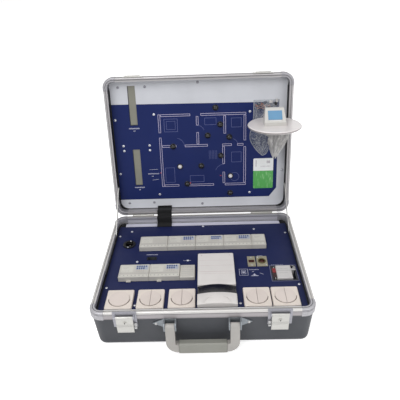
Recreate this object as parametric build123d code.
from build123d import *
import math
import os

# Portable training case, open on a table. X runs along the front, Y to the back, Z up.
# The origin is the centre of the base's underside. All lengths are in millimetres.

# How far a cutting body runs past the faces that it cuts
over = 1.0

# Case outline
case_width = 480.0
case_depth = 375.0
base_height = 104.0
lid_height = 58.0
corner_radius = 26.0
seam_gap = 1.0
lid_opening = 99.0

# Moulded shells
shell_wall = 3.0
shell_inset = 6.4
bottom_radius = 14.0
shell_play = 0.2

# Aluminium edge profile, drawn with its rim at height 0
frame_height = 18.0
rim_width = 10.5
rim_round = 4.0
skin_thickness = 1.8
web_thickness = 6.0
leg_thickness = 1.8
ledge_width = 9.0
ledge_thickness = 2.0
groove_offset = 5.0
groove_width = 2.6
groove_depth = 2.4
tongue_width = 1.6
tongue_height = 1.8
corner_reach = 32.0
corner_proud = 0.8
corner_drop = 1.5
corner_chamfer = 2.6

# Panels inside the rims
base_recess = 20.0
lid_recess = 22.0
panel_thickness = 3.0
panel_gap = 2.0
panel_corner = 22.0

# Rail-mounted devices: standard units of 18 mm behind a 45 mm front
module_width = 18.0
long_row_units = [4, 4, 4, 4, 2]
short_row_units = [4, 4, 2]
nose_depth = 45.0
nose_rise = 13.0
low_nose_rise = 9.0
nose_chamfer = 1.2
shoulder_depth = 90.0
shoulder_height = 43.0
module_height = 60.0
module_foot = 2.0
cutout_play = 0.75
key_size = 3.0
key_rise = 0.6
key_pitch = 5.0
key_columns = 5
key_left = 41.5
key_back = 5.0
long_row_keypads = [1, 2, 3]
short_row_keypads = [0, 1]
module_seam = 0.4
rail_overhang = 12.0
tab_width = 11.0
tab_reach = 5.0
tab_thickness = 2.5
rail_width = 35.0
rail_height = 7.5
rail_sheet = 1.5
rail_lip = 4.0
hanger_width = 32.0
hanger_sheet = 2.0

# Front row: round rockers in square plates, and the motion detector
plate_size = 59.0
plate_rise = 9.0
plate_corner = 2.0
plate_round = 1.2
dial_radius = 22.5
dial_play = 0.6
dial_proud = 1.4
dial_split = 0.8
dial_under = 1.6
dial_rib_radius = 1.2
dial_rib_inset = 2.0
mechanism_size = 44.0
mechanism_depth = 30.0
insert_height = 3.0
detector_width = 86.0
detector_length = 178.0
detector_front_margin = 6.0
cover_length = 113.0
cover_rise = 20.0
cover_round = 3.0
cover_chamfer = 1.0
lens_length = 32.0
lens_rise = 21.0
lens_bulge = 7.0
head_rise = 27.0
head_bulge = 5.0
head_skirt = 3.0
head_skirt_rise = 10.0
foot_rise = 7.0

# Sockets, switch and coupler
inlet_radius = 16.0
inlet_rim_height = 3.0
inlet_bore = 10.5
inlet_depth = 26.0
inlet_floor = 3.0
inlet_pin_radius = 1.5
inlet_pin_circle = 5.0
inlet_wall = 2.0
inlet_pin_sink = 6.0
inlet_up = 5.0
switch_width = 24.0
switch_depth = 12.0
switch_rim = 1.5
switch_corner = 2.0
switch_wall = 0.8
switch_body_depth = 22.0
switch_pocket = 8.0
rocker_length = 17.4
rocker_end_play = 1.0
rocker_width = 8.0
rocker_deep = 3.0
rocker_pivot_sink = 1.5
rocker_top = 3.2
rocker_side_play = 0.4
rocker_angle = 8.0
rocker_foot_share = 0.8
rocker_pin_radius = 0.8
rocker_pin_grip = 0.6
usb_plate_width = 19.0
round_plate_width = 26.0
socket_plate_depth = 38.0
socket_plate_thickness = 2.0
socket_body_depth = 20.0
usb_width = 12.0
usb_height = 8.0
usb_wall = 1.0
usb_tongue = 2.0
round_socket_radius = 8.5
round_socket_wall = 1.5
socket_floor = 8.0
tray_width = 60.0
tray_depth = 55.0
tray_wall = 1.5
tray_rim = 2.5
tray_rim_height = 1.0
tray_sink = 16.0
coupler_width = 36.0
coupler_depth = 46.0
coupler_rise = 6.0
coupler_chamfer = 1.5
clip_width = 6.0
clip_near = 6.0
clip_far = 14.0
terminal_width = 8.0
terminal_depth = 15.0
terminal_gap = 1.0
terminal_rise = 3.0

# Where free space in each band goes, as shares of what the devices leave
front_shares = [15.5, 9.5, 10.0, 5.0, 15.0, 3.0, 15.5]
back_shares = [20.9, 1.3, 52.8]
middle_left_shares = [30.5, 7.0]
middle_right_shares = [36.0, 3.0, 4.0, 5.5]
depth_shares = [12.5, 16.4, 8.9, 3.7, 57.5]
lid_side_shares = [51.5, 7.9, 55.0]
socket_share = 0.655
coupler_share = 0.36
switch_left_share = 0.395

# Lamps on the lid, measured from the middle of its panel
dark_lamps = [
    (42.9, 102.4),
    (54.7, 58.0),
    (21.1, 29.3),
    (78.3, 23.8),
    (55.3, -27.1),
    (1.5, -54.6),
    (79.4, -135.1),
    (-72.4, 1.9),
    (-38.6, -105.6),
]
clear_lamps = [(-56.4, -55.0), (80.5, -85.3)]

# Hinges at the back
hinge_corner_gap = 13.0
hinge_length = 60.0
hinge_knuckles = 3
knuckle_radius = 2.4
knuckle_gap = 0.4
hinge_pin_radius = 1.0
pin_play = 0.05
leaf_height = 14.0
leaf_thickness = 1.2
leaf_clear = 3.2

# Lid stays: an arm on each side, pegged to the lid and sliding along a rail
stay_length = 132.0
stay_width = 9.0
stay_thickness = 1.2
stay_side_gap = 0.3
stay_peg_up = 78.0
stay_peg_sink = 8.0
peg_radius = 2.0
peg_head_radius = 3.6
peg_head_height = 0.8
guide_height = 10.0
guide_thickness = 1.0
guide_sink = 7.0
guide_length = 160.0
guide_back = 64.0
guide_slot = 4.0

# Latches on the front
latch_corner_gap = 19.5
latch_width = 51.0
latch_bottom = 63.0
latch_sheet = 1.2
latch_wrap = 0.6
flap_width = 36.0
flap_length = 44.0
flap_thickness = 2.4
flap_stand = 4.6
flap_pin_drop = 8.0
flap_pin_radius = 1.5
flap_knuckle = 3.2
flap_lip = 2.0
ridge_half = 4.0
toe_kick = 1.0
toe_height = 2.0
key_plug_radius = 4.0
key_plug_proud = 1.5
key_plug_up = 8.0
ear_width = 3.0
ear_chamfer = 1.2
ear_gap = 0.4
catch_width = 50.0
catch_height = 15.0
catch_thickness = 1.5
catch_lip = 3.0
catch_lip_drop = 4.0
catch_inset = 6.0

# Carrying handle on the front
handle_span = 157.0
handle_arm = 20.0
handle_thickness = 14.0
handle_pivot_height = 72.0
handle_pivot_out = 9.5
handle_tilt = 6.0
handle_bottom = 4.0
grip_length = 103.0
grip_height = 27.0
grip_depth = 18.0
grip_wall = 3.0
bow_bend = 26.0
handle_pin_radius = 2.5
cheek = 3.0
cheek_gap = 0.5
cheek_chamfer = 4.0
cheek_inset = 2.0
bracket_height = 26.0
bracket_sheet = 2.5
bracket_tip = 24.0

# Ribbon cover that crosses the hinge line
strap_hinge_gap = 10.0
strap_width = 40.0
strap_thickness = 2.0
strap_notch = 3.5
strap_tail_base = 13.0
strap_tail_lid = 6.0
strap_play = 0.5

# Lid fittings
bar_width = 20.0
bar_length = 103.0
bar_thickness = 3.0
bar_sink = 1.5
bar_flange = 2.0
bar_play = 0.3
bar_left_margin = 45.0
bar_top_margin = 11.0
bar_bottom_margin = 68.0
lamp_radius = 8.0
lamp_height = 8.5
board_thickness = 1.6
board_width = 200.0
board_depth = 260.0
board_right = 5.0
board_down = 20.0
spacer_radius = 3.0
spacer_height = 5.0
spacer_inset = 8.0
card_width = 54.0
card_height = 85.6
card_thickness = 0.8
card_corner = 3.2
card_right_margin = 30.5
bag_width = 72.0
bag_height = 150.0
bag_thickness = 3.0
bag_bulge_width = 58.0
bag_bulge_height = 38.0
bag_bulge_thickness = 9.0
bag_bulge_margin = 6.0
bag_corner = 12.0
bag_right_margin = 13.5

# Display sensor, stood on a clear cup that leans on the lid panel
disc_radius = 66.0
disc_thickness = 7.0
disc_edge_round = 2.5
disc_right_margin = 41.5
disc_up = 68.0
disc_tilt = 4.5
disc_wall_gap = 9.0
cup_top_radius = 27.0
cup_bottom_radius = 7.0
cup_height = 58.0
cup_wall = 1.6
cup_sides = 16
foot_plate_width = 30.0
foot_plate_height = 44.0
foot_plate_thickness = 2.0
foot_gap = 0.3
arm_width = 10.0
arm_thickness = 3.0
head_width = 55.0
head_top_width = 46.0
head_depth = 34.0
head_front = 9.0
head_back = 38.0
head_top = 9.0
head_edge = 1.5
screen_width = 34.0
screen_height = 24.0
screen_thickness = 1.0

# Worked out from the sizes above
shell_top = skin_thickness + shell_play
shell_lean = math.atan(shell_inset / (base_height - frame_height))
half_width = case_width / 2
half_depth = case_depth / 2
inner_wall = half_width - rim_width
hinge_x = half_width - corner_reach - hinge_corner_gap - hinge_length / 2
latch_x = half_width - corner_reach - latch_corner_gap - latch_width / 2
strap_x = -(hinge_x - hinge_length / 2 - strap_hinge_gap - strap_width / 2)
panel_width = case_width - 2 * (rim_width + panel_gap)
panel_depth = case_depth - 2 * (rim_width + panel_gap)
base_top = base_height - base_recess
base_under = base_top - panel_thickness
front_edge = -panel_depth / 2
row_lengths = [module_width * sum(long_row_units), module_width * sum(short_row_units)]
rail_top = base_top + nose_rise - module_height
lid_place = (
    Pos(0, half_depth, base_height + seam_gap / 2)
    * Rot(180.0 - lid_opening, 0, 0)
    * Pos(0, half_depth, -seam_gap / 2)
)
flap_y = half_depth + latch_sheet + flap_stand
flap_z = base_height - flap_pin_drop
handle_y = half_depth + handle_pivot_out
stay_x = inner_wall - guide_thickness - stay_side_gap - stay_thickness
guide_z = base_height - guide_sink
peg_y = stay_peg_up - half_depth
peg_point = (lid_place * Pos(0, peg_y, -stay_peg_sink)).position
bar_x = -panel_width / 2 + bar_left_margin + bar_width / 2
bar_spots = [
    (bar_x, panel_depth / 2 - bar_top_margin - bar_length / 2),
    (bar_x, -panel_depth / 2 + bar_bottom_margin + bar_length / 2),
]
disc_n = -lid_recess + disc_wall_gap + disc_radius
disc_x = panel_width / 2 - disc_right_margin


def spread(start, end, widths, shares):
    """Centres of pieces side by side, with the free space shared out between them."""
    free = (end - start - sum(widths)) / sum(shares)
    centres = []
    place = start
    for width, share in zip(widths, shares):
        place += share * free + width / 2
        centres.append(place)
        place += width / 2
    return centres


front_x = spread(
    -panel_width / 2,
    panel_width / 2,
    [plate_size] * 3 + [detector_width] + [plate_size] * 2,
    front_shares,
)
plate_x = front_x[:3] + front_x[4:]
detector_x = front_x[3]
inlet_x, long_row_x = spread(
    -panel_width / 2,
    panel_width / 2,
    [2 * inlet_radius, row_lengths[0] + 2 * rail_overhang],
    back_shares,
)
short_row_x = spread(
    -panel_width / 2, detector_x - detector_width / 2, [row_lengths[1]], middle_left_shares
)[0]
usb_x, round_socket_x, coupler_x = spread(
    detector_x + detector_width / 2,
    panel_width / 2,
    [usb_plate_width, round_plate_width, tray_width],
    middle_right_shares,
)
plate_y, short_row_y, switch_y, long_row_y = spread(
    -panel_depth / 2,
    panel_depth / 2,
    [plate_size, shoulder_depth, switch_depth, shoulder_depth],
    depth_shares,
)
card_y, bag_y = spread(
    -panel_depth / 2, panel_depth / 2, [card_height, bag_height], lid_side_shares
)


def band_y(share):
    """A place between the back of the front row and the front of the long device row."""
    plate_back = plate_y + plate_size / 2
    row_front = long_row_y - nose_depth / 2
    return plate_back + share * (row_front - plate_back)


socket_y = band_y(socket_share)
coupler_y = band_y(coupler_share)
switch_x = short_row_x + row_lengths[1] * (switch_left_share - 0.5)


def block(x0, x1, y0, y1, z0, z1):
    """A box given by its limits."""
    return Pos((x0 + x1) / 2, (y0 + y1) / 2, (z0 + z1) / 2) * Box(x1 - x0, y1 - y0, z1 - z0)


def box_about(width, depth, z0, z1):
    """A box centred on the upright axis."""
    return Pos(0, 0, (z0 + z1) / 2) * Box(width, depth, z1 - z0)


def rod(radius, x0, x1, y, z):
    """A round rod along X."""
    return Pos((x0 + x1) / 2, y, z) * Rot(0, 90, 0) * Cylinder(radius, x1 - x0)


def post(radius, x, y, z0, z1):
    """An upright round post."""
    return Pos(x, y, (z0 + z1) / 2) * Cylinder(radius, z1 - z0)


def slab(width, depth, radius, z0, z1):
    """An upright plate with rounded corners."""
    return Pos(0, 0, z0) * extrude(RectangleRounded(width, depth, radius), amount=z1 - z0)


def ring(outer, inner, z0, z1):
    """A closed band round the case, between two distances in from its outline."""
    outside = slab(case_width - 2 * outer, case_depth - 2 * outer, corner_radius - outer, z0, z1)
    inside = slab(case_width - 2 * inner, case_depth - 2 * inner, corner_radius - inner, z0, z1)
    return outside - inside


def edge_band(leg_depth):
    """The edge profile as one closed band, with its rim at height 0."""
    band = ring(0, rim_width, -frame_height, 0)
    rim = band.faces().sort_by(Axis.Z)[-1]
    band = fillet(rim.outer_wire().edges(), rim_round)
    leg = rim_width - leg_thickness
    band -= ring(skin_thickness, leg, -frame_height, -web_thickness)
    band += ring(leg, rim_width, -leg_depth, -web_thickness)
    band += ring(leg, rim_width + ledge_width, -leg_depth, -leg_depth + ledge_thickness)
    return band


def edge_frame(leg_depth, hinge_side, tongue):
    """Straight profiles and cast corners of one half of the case."""
    band = edge_band(leg_depth)
    cast = ring(-corner_proud, rim_width, -frame_height - corner_drop, 0)
    rim = cast.faces().sort_by(Axis.Z)[-1]
    cast = chamfer(rim.outer_wire().edges(), corner_chamfer)
    cast -= ring(skin_thickness, rim_width - leg_thickness, -frame_height * 2, -web_thickness)
    if tongue:
        lip = (groove_width - tongue_width) / 2
        inner = groove_offset + lip + tongue_width
        band += ring(groove_offset + lip, inner, 0, tongue_height)
    else:
        band -= ring(groove_offset, groove_offset + groove_width, -groove_depth, 0)
    notch = block(
        strap_x - strap_width / 2 - strap_play,
        strap_x + strap_width / 2 + strap_play,
        min(0, hinge_side * (half_depth + over)),
        max(0, hinge_side * (half_depth + over)),
        -strap_notch,
        tongue_height + over,
    )
    band -= notch
    for side in (-1, 1):
        reach = hinge_length / 2 + knuckle_gap
        x = side * hinge_x
        y = hinge_side * half_depth
        band -= rod(leaf_clear, x - reach, x + reach, y, seam_gap / 2)
    far = half_width + corner_proud + over
    ends = []
    for x in (-1, 1):
        for y in (-1, 1):
            size = corner_reach + corner_proud + over
            ends.append(
                Pos(x * (far - size / 2), y * (half_depth + corner_proud + over - size / 2), 0)
                * Box(size, size, 4 * frame_height)
            )
    corners = [cast & end for end in ends]
    for end in ends:
        band -= end
    return band, Compound(children=[solid for part in corners for solid in part.solids()])


def tray(height):
    """A moulded half shell with its rim at height 0: straight collar, leaning walls, round base."""
    lean = math.degrees(math.atan(shell_inset / (height - frame_height)))
    wide_x = case_width - 2 * shell_top
    wide_y = case_depth - 2 * shell_top
    radius = corner_radius - shell_top
    outline = Pos(0, 0, -frame_height) * RectangleRounded(wide_x, wide_y, radius)
    body = extrude(outline, amount=-(height - frame_height), taper=lean)
    body += slab(wide_x, wide_y, radius, -frame_height, -web_thickness)
    floor = body.faces().sort_by(Axis.Z)[0]
    body = fillet(floor.outer_wire().edges(), bottom_radius)
    inner_x = wide_x - 2 * shell_wall
    inner_y = wide_y - 2 * shell_wall
    inner = radius - shell_wall
    outline = Pos(0, 0, -frame_height) * RectangleRounded(inner_x, inner_y, inner)
    hollow = extrude(outline, amount=-(height - frame_height - shell_wall), taper=lean)
    floor = hollow.faces().sort_by(Axis.Z)[0]
    hollow = chamfer(floor.outer_wire().edges(), bottom_radius / 2)
    hollow += slab(inner_x, inner_y, inner, -frame_height, -web_thickness)
    return body - hollow


def device(x0, units, y, rise, tab):
    """One rail-mounted device: wide shoulders below the panel and a nose through it."""
    x0 = x0 + module_seam / 2
    x1 = x0 + units * module_width - module_seam
    top = base_top + rise
    back = y + nose_depth / 2
    front = y - nose_depth / 2
    nose = block(x0, x1, front, back, rail_top + shoulder_height, top)
    nose = chamfer(nose.faces().sort_by(Axis.Z)[-1].edges(), nose_chamfer)
    foot = rail_top - module_foot
    y0 = y - shoulder_depth / 2
    body = nose + block(x0, x1, y0, y0 + shoulder_depth, foot, rail_top + shoulder_height)
    grip = rail_width / 2 + module_seam
    body -= block(x0 - over, x1 + over, y - grip, y + grip, foot - over, rail_top)
    if tab:
        x = x0 + units * module_width / 3
        body += block(
            x - tab_width / 2,
            x + tab_width / 2,
            front - tab_reach,
            front,
            base_top + module_seam,
            base_top + module_seam + tab_thickness,
        )
    return body


def device_row(x, length, y, units, rises, tab):
    """Devices side by side, from the row's left end."""
    place = x - length / 2
    devices = []
    for count, rise in zip(units, rises):
        devices.append(device(place, count, y, rise, tab and rise == nose_rise))
        place += count * module_width
    return devices


def keypad(x0, y):
    """Two strips of small keys near a device's back edge, the second strip one key shorter."""
    top = base_top + nose_rise
    strips = []
    for row in range(2):
        x = x0 + key_left
        end = x + (key_columns - row - 1) * key_pitch + key_size
        back = y + nose_depth / 2 - key_back - row * key_pitch
        strips.append(block(x, end, back - key_size, back, top, top + key_rise))
    return strips


def rail(x, length, y):
    """A top-hat mounting rail and the two hangers that carry it under the panel."""
    x0 = x - length / 2 - rail_overhang
    x1 = x + length / 2 + rail_overhang
    half = rail_width / 2
    web = half - rail_lip
    low = rail_top - rail_height
    hat = block(x0, x1, y - half, y + half, rail_top - rail_sheet, rail_top)
    hat += block(x0, x1, y - web, y + web, low, rail_top)
    trough = web - rail_sheet
    hat -= block(x0 - over, x1 + over, y - trough, y + trough, low + rail_sheet, rail_top + over)
    pieces = [hat]
    for side, end in ((-1, x0), (1, x1)):
        wall = end - side * hanger_sheet
        toe = end - side * (rail_overhang - module_seam)
        y0 = y - hanger_width / 2
        y1 = y + hanger_width / 2
        hanger = block(min(end, wall), max(end, wall), y0, y1, rail_top, base_under)
        hanger += block(min(end, toe), max(end, toe), y0, y1, base_under - hanger_sheet, base_under)
        hanger += block(min(end, toe), max(end, toe), y0, y1, rail_top, rail_top + hanger_sheet)
        pieces.append(hanger)
    return pieces


def rocker_half(x, side):
    """One half of a round rocker, on the rib it tilts about; side 0 is a whole disc."""
    z0 = base_top + insert_height + dial_under
    z1 = base_top + plate_rise + dial_proud
    dial = post(dial_radius, x, plate_y, z0, z1)
    outer = x + (side or 1) * dial_radius
    inner = x + side * dial_split / 2 if side else x - dial_radius
    x0 = min(inner, outer)
    x1 = max(inner, outer)
    if side:
        dial &= block(x0, x1, plate_y - dial_radius, plate_y + dial_radius, z0, z1)
    return dial + rod(dial_rib_radius, x0 + dial_rib_inset, x1 - dial_rib_inset, plate_y, z0)


def switch_plate(x):
    """A square cover plate with the seat of its dial and the mechanism's body behind the panel."""
    high = base_top + plate_rise
    plate = box_about(plate_size, plate_size, base_top, high)
    plate = chamfer(plate.edges().filter_by(Axis.Z), plate_corner)
    plate = chamfer(plate.faces().sort_by(Axis.Z)[-1].edges(), plate_round)
    plate -= post(dial_radius + dial_play, 0, 0, base_top + insert_height, high + over)
    plate += box_about(mechanism_size, mechanism_size, base_top - mechanism_depth, base_top)
    return Pos(x, plate_y, 0) * plate


def arched(x, width, y0, y1, z0, z1, bulge):
    """A block along Y whose top is an arch over its width."""
    half = width / 2
    sides = Polyline((half, z1), (half, z0), (-half, z0), (-half, z1))
    crown = ThreePointArc((-half, z1), (0, z1 + bulge), (half, z1))
    face = Plane.XZ * make_face([*sides.edges(), *crown.edges()])
    return Pos(x, y1, 0) * extrude(face, amount=y1 - y0)


def detector():
    """Motion detector: flat cover, dark curved lens and the white head in front of it."""
    x = detector_x
    front = front_edge + detector_front_margin
    back = front + detector_length
    seam = back - cover_length
    half = detector_width / 2
    cover = block(x - half, x + half, seam, back, base_top, base_top + cover_rise)
    cover = fillet(cover.edges().filter_by(Axis.Z), cover_round)
    cover = chamfer(cover.faces().sort_by(Axis.Z)[-1].edges(), cover_chamfer)
    tail = half - head_skirt
    cover += block(x - tail, x + tail, front + head_skirt, seam, base_top, base_top + foot_rise)
    lens_end = seam - lens_length
    lens_low = base_top + foot_rise
    lens = arched(x, detector_width, lens_end, seam, lens_low, base_top + lens_rise - lens_bulge, lens_bulge)
    lens += block(x - tail, x + tail, front + 2 * head_skirt, lens_end, lens_low, base_top + head_skirt_rise)
    head = arched(
        x,
        detector_width,
        front,
        lens_end,
        base_top + head_skirt_rise,
        base_top + head_rise - head_bulge,
        head_bulge,
    )
    nose = head.edges().filter_by(Axis.X).sort_by(Axis.Y)[0]
    head = chamfer(nose, head_skirt)
    return cover, lens, head


def power_inlet():
    """Round mains inlet with a rim on the panel, a deep bore and three pins."""
    x = inlet_x
    y = long_row_y + inlet_up
    barrel = inlet_bore + inlet_wall
    body = post(inlet_radius, x, y, base_top, base_top + inlet_rim_height)
    body += post(barrel, x, y, base_top - inlet_depth, base_top)
    floor = base_top - inlet_depth + inlet_floor
    body -= post(inlet_bore, x, y, floor, base_top + inlet_rim_height + over)
    for turn in range(3):
        angle = math.radians(90 + 120 * turn)
        px = x + inlet_pin_circle * math.cos(angle)
        py = y + inlet_pin_circle * math.sin(angle)
        body += post(inlet_pin_radius, px, py, floor, base_top - inlet_pin_sink)
    return body


def mains_switch():
    """Oblong switch body with a rim, open to the panel's top, with holes for the rocker's pins."""
    open_x = rocker_length + 2 * rocker_end_play
    open_y = rocker_width + 2 * rocker_side_play
    body = slab(switch_width, switch_depth, switch_corner, base_top, base_top + switch_rim)
    outer_x = open_x + 2 * switch_wall
    outer_y = open_y + 2 * switch_wall
    body += box_about(outer_x, outer_y, base_top - switch_body_depth, base_top)
    body -= box_about(open_x, open_y, base_top - switch_pocket, base_top + switch_rim + over)
    pivot = Pos(0, 0, base_top - rocker_pivot_sink) * Rot(90, 0, 0)
    body -= pivot * Cylinder(rocker_pin_radius + pin_play, switch_depth)
    return Pos(switch_x, switch_y, 0) * body


def mains_rocker():
    """The rocker, pressed down at its right end, as a shallow vee in profile."""
    half = rocker_length / 2
    rise = half * math.tan(math.radians(rocker_angle))
    profile = Polygon(
        (-half, rocker_top + rise),
        (0, rocker_top),
        (half, rocker_top + rise),
        (half * rocker_foot_share, -rocker_deep),
        (-half * rocker_foot_share, -rocker_deep),
        align=None,
    )
    body = extrude(Plane.XZ * profile, amount=rocker_width / 2, both=True)
    reach = rocker_width / 2 + rocker_side_play + rocker_pin_grip
    body += Rot(90, 0, 0) * Cylinder(rocker_pin_radius, 2 * reach)
    tilt = Rot(0, rocker_angle, 0)
    return Pos(switch_x, switch_y, base_top - rocker_pivot_sink) * tilt * body


def sockets():
    """Two metal socket plates and the plastic connectors in them."""
    top = base_top + socket_plate_thickness
    low = base_top - socket_body_depth
    floor = top - socket_floor
    outer_x = usb_width + 2 * usb_wall
    outer_y = usb_height + 2 * usb_wall
    square = box_about(outer_x, outer_y, low, top) - box_about(usb_width, usb_height, floor, top + over)
    square += box_about(usb_width - 2 * usb_wall, usb_tongue, floor, top - usb_wall)
    barrel = round_socket_radius + round_socket_wall
    round_core = post(barrel, 0, 0, low, top) - post(round_socket_radius, 0, 0, floor, top + over)
    round_core += post(round_socket_radius / 2, 0, 0, floor, top - round_socket_wall)
    square_plate = box_about(usb_plate_width, socket_plate_depth, base_top, top)
    square_plate -= box_about(outer_x, outer_y, base_top - over, top + over)
    round_plate = box_about(round_plate_width, socket_plate_depth, base_top, top)
    round_plate -= post(barrel, 0, 0, base_top - over, top + over)
    left = Pos(usb_x, socket_y, 0)
    right = Pos(round_socket_x, socket_y, 0)
    return [left * square_plate, right * round_plate], [left * square, right * round_core]


def coupler():
    """Sunken tray in the panel, the coupler module in it and its two terminal blocks."""
    here = Pos(coupler_x, coupler_y, 0)
    floor = base_top - tray_sink
    seat = floor + tray_wall
    outer_x = tray_width - 2 * tray_rim
    outer_y = tray_depth - 2 * tray_rim
    holder = box_about(tray_width, tray_depth, base_top, base_top + tray_rim_height)
    holder += box_about(outer_x, outer_y, floor, base_top)
    inner_x = outer_x - 2 * tray_wall
    inner_y = outer_y - 2 * tray_wall
    holder -= box_about(inner_x, inner_y, seat, base_top + tray_rim_height + over)
    right = coupler_width / 2
    half = coupler_depth / 2
    module = block(-right, right, -half, half, seat, base_top + coupler_rise)
    module = chamfer(module.faces().sort_by(Axis.Z)[-1].edges(), coupler_chamfer)
    module += block(right, right + clip_width, clip_near, clip_far, seat, base_top + terminal_rise)
    blocks = []
    for row in (-1, 1):
        near = row * terminal_gap / 2
        far = near + row * terminal_depth
        left = -right - terminal_width
        high = base_top + terminal_rise
        blocks.append(here * block(left, -right, min(near, far), max(near, far), seat, high))
    return here * holder, here * module, blocks


def base_panel():
    """The lower panel, cut out for everything that passes through it."""
    plate = slab(panel_width, panel_depth, panel_corner, base_under, base_top)
    low = base_under - over
    high = base_top + over
    rows = [(long_row_x, row_lengths[0], long_row_y), (short_row_x, row_lengths[1], short_row_y)]
    for x, length, y in rows:
        half_x = length / 2 + cutout_play
        half_y = nose_depth / 2 + cutout_play
        plate -= block(x - half_x, x + half_x, y - half_y, y + half_y, low, high)
    for x in plate_x:
        half = mechanism_size / 2 + cutout_play
        plate -= block(x - half, x + half, plate_y - half, plate_y + half, low, high)
    inlet_hole = inlet_bore + inlet_wall + cutout_play
    plate -= post(inlet_hole, inlet_x, long_row_y + inlet_up, low, high)
    wide_x = rocker_length / 2 + rocker_end_play + switch_wall + cutout_play
    wide_y = rocker_width / 2 + rocker_side_play + switch_wall + cutout_play
    plate -= block(switch_x - wide_x, switch_x + wide_x, switch_y - wide_y, switch_y + wide_y, low, high)
    x = usb_width / 2 + usb_wall + cutout_play
    y = usb_height / 2 + usb_wall + cutout_play
    plate -= block(usb_x - x, usb_x + x, socket_y - y, socket_y + y, low, high)
    barrel = round_socket_radius + round_socket_wall + cutout_play
    plate -= post(barrel, round_socket_x, socket_y, low, high)
    x = tray_width / 2 - tray_rim + cutout_play
    y = tray_depth / 2 - tray_rim + cutout_play
    plate -= block(coupler_x - x, coupler_x + x, coupler_y - y, coupler_y + y, low, high)
    return plate


def wall_y(z):
    """How far the front of the lower shell stands out at height z."""
    return half_depth - shell_top - (base_height - frame_height - z) * math.tan(shell_lean)


def profile_x(points, x0, x1):
    """A prism along X with its outline given as (y, z) points."""
    face = Plane.YZ * make_face(Polyline(*points, close=True))
    return Pos(x0, 0, 0) * extrude(face, amount=x1 - x0)


def latch_plate(x):
    """Cast plate that wraps over the rim and carries the ears of one latch."""
    x0 = x - latch_width / 2
    out = half_depth + latch_sheet
    low = base_height - frame_height - ear_gap
    rim = base_height + latch_wrap
    body = profile_x(
        [
            (-out, rim),
            (-out, low),
            (-wall_y(latch_bottom) - 2 * latch_sheet, latch_bottom),
            (-wall_y(latch_bottom), latch_bottom),
            (-wall_y(low), low),
            (-half_depth, low),
            (-half_depth, base_height),
            (-half_depth + groove_offset - ear_gap, base_height),
            (-half_depth + groove_offset - ear_gap, rim),
        ],
        x0,
        x0 + latch_width,
    )
    for side in (-1, 1):
        near = x + side * (flap_width / 2 + ear_gap)
        far = near + side * ear_width
        ear = block(
            min(near, far),
            max(near, far),
            -flap_y - flap_knuckle,
            -half_depth,
            flap_z - flap_knuckle,
            flap_z + flap_knuckle,
        )
        ear = chamfer(ear.edges().filter_by(Axis.X).group_by(Axis.Y)[0], ear_chamfer)
        body += ear
    span = flap_width / 2 + ear_gap + ear_width + over
    return body - rod(flap_pin_radius + pin_play, x - span, x + span, -flap_y, flap_z)


def latch_flap(x):
    """Hanging lever of one latch, with a ridge across its middle and a key plug."""
    x0 = x - flap_width / 2
    half = flap_thickness / 2
    middle = flap_z - flap_length / 2
    low = flap_z - flap_length
    body = profile_x(
        [
            (-flap_y - half, flap_z),
            (-flap_y - half, middle + ridge_half),
            (-flap_y - half - flap_lip, middle),
            (-flap_y - half, middle - ridge_half),
            (-flap_y - half + toe_kick, low + toe_height),
            (-flap_y + toe_kick, low),
            (-flap_y + half + toe_kick, low + toe_height),
            (-flap_y + half, middle),
            (-flap_y + half, flap_z),
        ],
        x0,
        x0 + flap_width,
    )
    body += rod(flap_knuckle, x0, x0 + flap_width, -flap_y, flap_z)
    plug = Pos(x, -flap_y - half, middle + key_plug_up) * Rot(90, 0, 0)
    body += plug * Cylinder(key_plug_radius, 2 * key_plug_proud)
    return body - rod(flap_pin_radius + pin_play, x0 - over, x0 + flap_width + over, -flap_y, flap_z)


def handle_bracket(side):
    """Plate on the shell with two cheeks that hold one arm of the handle."""
    z0 = handle_pivot_height - bracket_height / 2
    z1 = z0 + bracket_height
    inner = handle_span / 2 - handle_arm - cheek_gap - cheek
    outer = handle_span / 2 + cheek_gap + cheek
    plate = profile_x(
        [
            (-wall_y(z0), z0),
            (-wall_y(z1), z1),
            (-wall_y(z1) - bracket_sheet, z1),
            (-wall_y(z0) - bracket_sheet, z0),
        ],
        inner,
        outer + bracket_tip,
    )
    arrow = Polygon(
        (inner, z0),
        (outer, z0),
        (outer + bracket_tip, handle_pivot_height),
        (outer, z1),
        (inner, z1),
        align=None,
    )
    arrow = extrude(Plane.XZ * arrow, amount=case_depth)
    body = plate & arrow
    reach = handle_thickness / 2
    for x in (inner, outer - cheek):
        tab = block(x, x + cheek, -handle_y - reach, -wall_y(z1), z0 + cheek_inset, z1 - cheek_inset)
        tab = chamfer(tab.edges().filter_by(Axis.X).group_by(Axis.Y)[0], cheek_chamfer)
        body += tab
    body -= rod(handle_pin_radius + pin_play, inner - over, outer + over, -handle_y, handle_pivot_height)
    return body if side > 0 else body.mirror(Plane.YZ)


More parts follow.
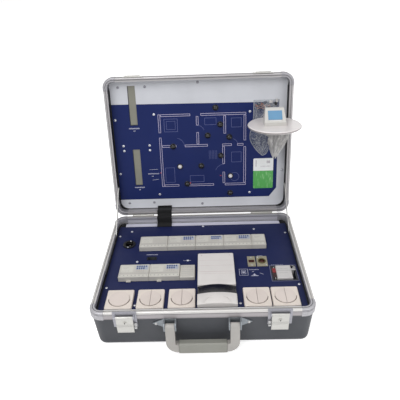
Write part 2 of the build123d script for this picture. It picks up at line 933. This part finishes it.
def handle():
    """The U-shaped bow and the sleeve on its grip, hanging a little away from the case."""
    low = handle_pivot_height - handle_bottom - grip_wall
    outer = handle_span / 2
    top = handle_thickness / 2
    bow = extrude(
        Plane.XZ * Pos(0, (top - low) / 2) * RectangleRounded(2 * outer, low + top, bow_bend),
        amount=handle_thickness / 2,
        both=True,
    )
    bow += block(-outer, outer, -top, top, -bow_bend, top)
    inner = outer - handle_arm
    bar = low - (grip_height - 2 * grip_wall)
    bow -= block(-inner, inner, -handle_thickness, handle_thickness, -bar, handle_thickness)
    for side in (-1, 1):
        arm = side * (outer - handle_arm / 2)
        x0 = arm - handle_arm / 2 - over
        x1 = arm + handle_arm / 2 + over
        bow -= block(x0, x1, -top - over, top + over, 0, top + over) - rod(top, x0, x1, 0, 0)
    bow -= rod(handle_pin_radius + pin_play, -outer - over, outer + over, 0, 0)
    middle = -low - grip_wall + grip_height / 2
    grip = block(
        -grip_length / 2,
        grip_length / 2,
        -grip_depth / 2,
        grip_depth / 2,
        middle - grip_height / 2,
        middle + grip_height / 2,
    )
    grip = chamfer(grip.edges().filter_by(Axis.X), grip_wall)
    here = Pos(0, -handle_y, handle_pivot_height) * Rot(-handle_tilt, 0, 0)
    return here * bow, here * (grip - bow)


def hinge_leaf(x, side, first):
    """One leaf of a butt hinge with every second knuckle, its axis at height seam_gap / 2."""
    y = side * half_depth
    back = y + side * leaf_thickness
    axis = seam_gap / 2
    x0 = x - hinge_length / 2
    pitch = hinge_length / hinge_knuckles
    leaf = block(x0, x0 + hinge_length, min(y, back), max(y, back), axis - leaf_height, axis)
    clear = knuckle_radius + knuckle_gap
    play = knuckle_gap / 2
    for index in range(hinge_knuckles):
        a = x0 + index * pitch
        b = a + pitch
        if index % 2 == first:
            leaf += rod(knuckle_radius, a + play, b - play, y, axis)
        else:
            leaf -= block(a - play, b + play, y - clear, y + clear, axis - clear, axis + over)
    return leaf - rod(hinge_pin_radius + pin_play, x0 - over, x0 + hinge_length + over, y, axis)


def stay_arm(side):
    """Flat arm from the peg on the lid down to the slotted guide on the base."""
    dip = math.degrees(math.asin((peg_point.Z - guide_z) / stay_length))
    bar = slab(stay_width, stay_length + stay_width, stay_width / 2 - pin_play, 0, stay_thickness)
    bar -= post(peg_radius + pin_play, 0, stay_length / 2, -over, stay_thickness + over)
    bar = Pos(stay_x, 0, 0) * Rot(0, 90, 0) * bar
    bar = Pos(0, peg_point.Y, peg_point.Z) * Rot(dip, 0, 0) * Pos(0, -stay_length / 2, 0) * bar
    return bar if side > 0 else bar.mirror(Plane.YZ)


def stay_guide(side):
    """Slotted guide strip on the inner wall of the base."""
    back = half_depth - rim_width - guide_back
    front = back - guide_length
    half = guide_height / 2
    strip = block(inner_wall - guide_thickness, inner_wall, front, back, guide_z - half, guide_z + half)
    slot = guide_slot / 2
    strip -= block(
        inner_wall - guide_thickness - over,
        inner_wall - guide_thickness / 2,
        front + half,
        back - half,
        guide_z - slot,
        guide_z + slot,
    )
    return strip if side > 0 else strip.mirror(Plane.YZ)


def ribbon(recess, side, tail):
    """One half of the ribbon cover, drawn with the rim at height 0."""
    x0 = strap_x - strap_width / 2
    x1 = x0 + strap_width
    wall = half_depth - rim_width
    inside = wall - strap_thickness
    top = -strap_notch + strap_thickness
    piece = block(x0, x1, inside, half_depth, -strap_notch, top)
    piece += block(x0, x1, inside, wall, -recess, top)
    piece += block(x0, x1, inside - tail, wall, -recess, -recess + strap_thickness)
    return piece if side > 0 else piece.mirror(Plane.XZ)


def stay_peg(side):
    """Headed peg on the lid's inner wall that holds the upper end of one stay."""
    tip = side * (stay_x - peg_head_height / 2)
    wall = side * inner_wall
    head = tip - side * peg_head_height
    peg = rod(peg_radius, min(tip, wall), max(tip, wall), peg_y, -stay_peg_sink)
    return peg + rod(peg_head_radius, min(head, tip), max(head, tip), peg_y, -stay_peg_sink)


def lid_panel():
    """The upper panel with its two slots."""
    top = -lid_recess
    plate = slab(panel_width, panel_depth, panel_corner, top - panel_thickness, top)
    for x, y in bar_spots:
        plate -= Pos(x, y, top - panel_thickness / 2) * Box(bar_width, bar_length, 2 * panel_thickness)
    return plate


def light_bar(x, y):
    """A light bar seen through a slot, with a flange behind the panel."""
    top = -lid_recess
    under = top - panel_thickness
    window = box_about(bar_width - 2 * bar_play, bar_length - 2 * bar_play, under, top - bar_sink)
    flange = box_about(bar_width + 2 * bar_flange, bar_length + 2 * bar_flange, under - bar_thickness, under)
    return Pos(x, y, 0) * (window + flange)


def lamp(x, y):
    """A round lamp on the panel."""
    return post(lamp_radius, x, y, -lid_recess, lamp_height - lid_recess)


def lamp_board():
    """The circuit board behind the upper panel, on four spacers."""
    top = -lid_recess - panel_thickness
    face = top - spacer_height
    middle = Pos(board_right, -board_down, face - board_thickness / 2)
    board = middle * Box(board_width, board_depth, board_thickness)
    for x in (-1, 1):
        for y in (-1, 1):
            px = board_right + x * (board_width / 2 - spacer_inset)
            py = -board_down + y * (board_depth / 2 - spacer_inset)
            board += Pos(px, py, face) * extrude(RegularPolygon(spacer_radius, 6), amount=spacer_height)
    return board


def lid_catch(x):
    """Keeper for one latch on the outside of the lid's front profile."""
    y = half_depth
    x0 = x - catch_width / 2
    plate = block(x0, x0 + catch_width, y, y + catch_thickness, -catch_height, 0)
    low = -catch_lip_drop
    out = y + catch_thickness + catch_lip
    plate += block(x0 + catch_inset, x0 + catch_width - catch_inset, y, out, low, low + catch_thickness)
    return plate


def card():
    """A plain plastic card lying on the upper panel."""
    x = panel_width / 2 - card_right_margin - card_width / 2
    top = -lid_recess
    return Pos(x, card_y, 0) * slab(card_width, card_height, card_corner, top, top + card_thickness)


def accessory_bag():
    """Soft clear bag, flat against the panel with its contents bulging at the top."""
    x = panel_width / 2 - bag_right_margin - bag_width / 2
    top = -lid_recess
    bag = slab(bag_width, bag_height, bag_corner, top, top + bag_thickness)
    up = (bag_height - bag_bulge_height) / 2 - bag_bulge_margin
    bulge = slab(bag_bulge_width, bag_bulge_height, bag_corner, top, top + bag_bulge_thickness)
    return Pos(x, bag_y, 0) * (bag + Pos(0, up, 0) * bulge)


def sensor_disc():
    """The round foot of the display sensor."""
    disc = Cylinder(disc_radius, disc_thickness)
    return chamfer(disc.edges(), disc_edge_round)


def cup_form(radius_less):
    """The cup's tapered, many-sided form, made narrower all round by the given amount."""
    top = -disc_thickness / 2
    wide = Pos(0, 0, top) * RegularPolygon(cup_top_radius - radius_less, cup_sides)
    narrow = Pos(0, 0, top - cup_height) * RegularPolygon(cup_bottom_radius - radius_less, cup_sides)
    return loft([narrow, wide], ruled=True)


def sensor_cup():
    """Clear tapered cup under the disc."""
    return cup_form(0) - Pos(0, 0, cup_wall) * cup_form(cup_wall)


def sensor_bracket():
    """Clear arm from the cup's rim and the foot plate that leans towards the lid."""
    top = -disc_thickness / 2
    back = disc_n + lid_recess - bag_thickness - foot_gap
    near = back - foot_plate_thickness
    half = foot_plate_width / 2
    plate = Rot(-disc_tilt, 0, 0) * block(-half, half, near, back, -foot_plate_height, disc_thickness)
    plate &= block(-half, half, near - foot_plate_height, 2 * back, -2 * foot_plate_height, top)
    half = arm_width / 2
    arm = block(-half, half, 0, back - foot_plate_thickness / 2, top - arm_thickness, top)
    return plate + (arm - cup_form(0))


def sensor_head():
    """Wedge-shaped housing on the disc and the screen on its sloping face."""
    low = disc_thickness / 2
    half = head_depth / 2
    side = profile_x(
        [
            (half, low),
            (half, low + head_back),
            (half - head_top, low + head_back),
            (-half, low + head_front),
            (-half, low),
        ],
        -head_width / 2,
        head_width / 2,
    )
    face = Polygon(
        (-head_width / 2, low),
        (head_width / 2, low),
        (head_top_width / 2, low + head_back),
        (-head_top_width / 2, low + head_back),
        align=None,
    )
    housing = side & extrude(Plane.XZ * face, amount=head_depth, both=True)
    housing = chamfer(housing.edges().filter_by(Axis.X).group_by(Axis.Z)[-1], head_edge)
    rise = head_back - head_front
    run = head_depth - head_top
    angle = math.degrees(math.atan2(rise, run))
    spot = Pos(0, (-half + half - head_top) / 2, low + (head_front + head_back) / 2)
    screen = box_about(screen_width, screen_height, 0, screen_thickness)
    return housing, spot * Rot(angle, 0, 0) * screen


parts = {}


def keep(name, *shapes):
    """Store one named piece, or several alike under one name."""
    parts[name] = shapes[0] if len(shapes) == 1 else Compound(children=list(shapes))


base_place = Pos(0, 0, base_height)
base_leg = base_recess + panel_thickness + ledge_thickness
lid_leg = lid_recess + panel_thickness + ledge_thickness

frame, corners = edge_frame(base_leg, 1, False)
keep("base_shell", base_place * tray(base_height))
keep("base_frame", base_place * frame)
keep("base_corners", base_place * corners)
keep("base_panel", base_panel())

long_rail = rail(long_row_x, row_lengths[0], long_row_y)
short_rail = rail(short_row_x, row_lengths[1], short_row_y)
keep("din_rails", *long_rail, *short_rail)
long_rises = [nose_rise] * len(long_row_units)
short_rises = [nose_rise, nose_rise, low_nose_rise]
long_row = device_row(long_row_x, row_lengths[0], long_row_y, long_row_units, long_rises, False)
short_row = device_row(short_row_x, row_lengths[1], short_row_y, short_row_units, short_rises, True)
keep("modules_long_row", *long_row)
keep("modules_short_row", *short_row)
keys = []
wide_module = module_width * long_row_units[0]
for index in long_row_keypads:
    keys += keypad(long_row_x - row_lengths[0] / 2 + index * wide_module, long_row_y)
for index in short_row_keypads:
    keys += keypad(short_row_x - row_lengths[1] / 2 + index * wide_module, short_row_y)
keep("module_keys", *keys)

keep("power_inlet", power_inlet())
keep("mains_switch_body", mains_switch())
keep("mains_rocker", mains_rocker())
socket_plates, socket_inserts = sockets()
keep("socket_plates", *socket_plates)
keep("socket_inserts", *socket_inserts)
coupler_tray, coupler_module, terminals = coupler()
keep("coupler_tray", coupler_tray)
keep("coupler_module", coupler_module)
keep("bus_terminal", *terminals)

keep("switch_plates", *[switch_plate(x) for x in plate_x])
keep("push_disc", rocker_half(plate_x[0], 0))
for number, x in enumerate(plate_x[1:], start=2):
    keep(f"rocker_{number}_left", rocker_half(x, -1))
    keep(f"rocker_{number}_right", rocker_half(x, 1))
cover, lens, cap = detector()
keep("detector_housing", cover)
keep("detector_lens", lens)
keep("detector_cap", cap)

keep("latch_plates", latch_plate(-latch_x), latch_plate(latch_x))
keep("latch_flap_left", latch_flap(-latch_x))
keep("latch_flap_right", latch_flap(latch_x))
keep("handle_brackets", handle_bracket(-1), handle_bracket(1))
bow, grip = handle()
keep("handle_bow", bow)
keep("handle_grip", grip)

pins = []
for side in (-1, 1):
    reach = flap_width / 2 + ear_gap + ear_width
    x = side * latch_x
    pins.append(rod(flap_pin_radius, x - reach, x + reach, -flap_y, flap_z))
    near = side * (handle_span / 2 - handle_arm - cheek_gap - cheek)
    far = side * (handle_span / 2 + cheek_gap + cheek)
    pins.append(rod(handle_pin_radius, min(near, far), max(near, far), -handle_y, handle_pivot_height))
    x = side * hinge_x
    axis_z = base_height + seam_gap / 2
    pins.append(rod(hinge_pin_radius, x - hinge_length / 2, x + hinge_length / 2, half_depth, axis_z))
keep("pivot_pins", *pins)
keep("hinge_base_leaves", *[base_place * hinge_leaf(side * hinge_x, 1, 0) for side in (-1, 1)])
keep("hinge_lid_leaves", *[lid_place * hinge_leaf(side * hinge_x, -1, 1) for side in (-1, 1)])
keep("stay_rails", stay_guide(-1), stay_guide(1))
keep("stay_left", stay_arm(-1))
keep("stay_right", stay_arm(1))
keep("strap_lower", base_place * ribbon(base_recess, 1, strap_tail_base))
keep("strap_upper", lid_place * ribbon(lid_recess, -1, strap_tail_lid))

frame, corners = edge_frame(lid_leg, -1, True)
keep("lid_shell", lid_place * tray(lid_height))
keep("lid_frame", lid_place * frame)
keep("lid_corners", lid_place * corners)
keep("lid_panel", lid_place * lid_panel())
keep("lid_fasteners", lid_place * stay_peg(-1), lid_place * stay_peg(1))
keep("light_bars", *[lid_place * light_bar(x, y) for x, y in bar_spots])
keep("lamps_dark", *[lid_place * lamp(x, y) for x, y in dark_lamps])
keep("lamps_clear", *[lid_place * lamp(x, y) for x, y in clear_lamps])
keep("lamp_board", lid_place * lamp_board())
keep("lid_catches", *[lid_place * lid_catch(side * latch_x) for side in (-1, 1)])
keep("card", lid_place * card())
keep("accessory_bag", lid_place * accessory_bag())

sensor_place = lid_place * Pos(disc_x, disc_up, disc_n) * Rot(disc_tilt - 90, 0, 0)
keep("sensor_disc", sensor_place * sensor_disc())
keep("sensor_holder", sensor_place * sensor_cup())
keep("sensor_bracket", sensor_place * sensor_bracket())
housing, screen = sensor_head()
keep("sensor_housing", sensor_place * housing)
keep("sensor_screen", sensor_place * screen)

os.makedirs("parts", exist_ok=True)
for name, shape in parts.items():
    export_step(shape, f"parts/{name}.step")
